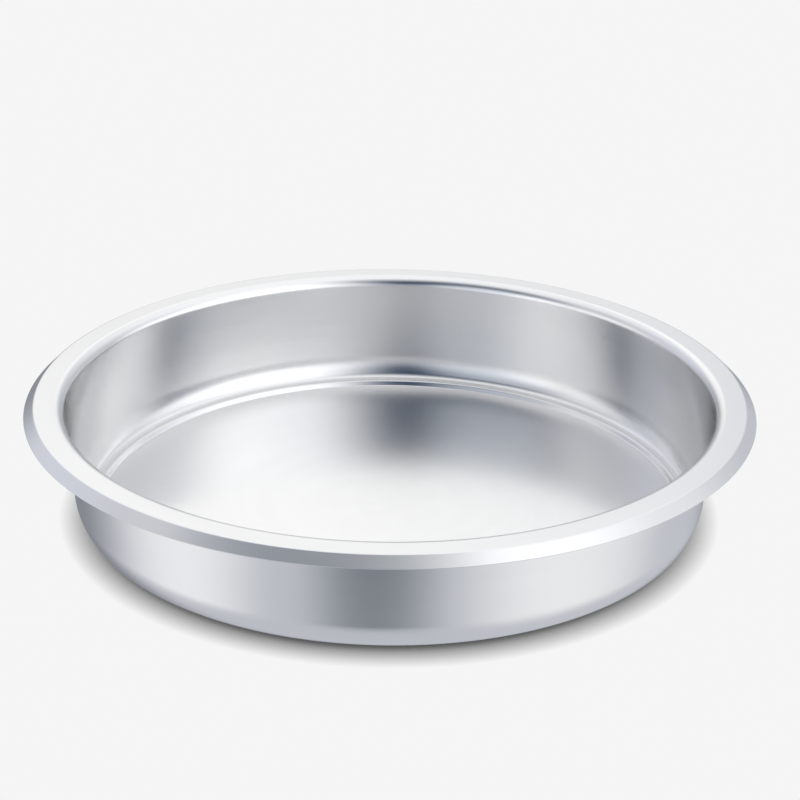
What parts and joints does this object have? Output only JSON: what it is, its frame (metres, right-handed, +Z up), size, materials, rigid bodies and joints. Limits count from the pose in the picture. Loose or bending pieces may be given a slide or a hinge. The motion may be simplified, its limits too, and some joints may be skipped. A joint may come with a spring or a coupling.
{
  "type": "food pan",
  "caption": "Round shallow stainless steel food pan with a flat flange, a bevelled lip, a leaning wall and a flat floor set below a narrow ledge.",
  "frame": {"origin": "centre of the pan's underside, on the surface that the pan stands on", "axes": "+Z up along the pan's axis; the pan is round, so X and Y have no preferred direction"},
  "size_m": [0.39, 0.39, 0.066],
  "materials": {
    "steel": "satin polished stainless steel with fine drawing lines"
  },
  "bodies": {
    "root": {"food_pan": "steel"}
  },
  "joints": []
}
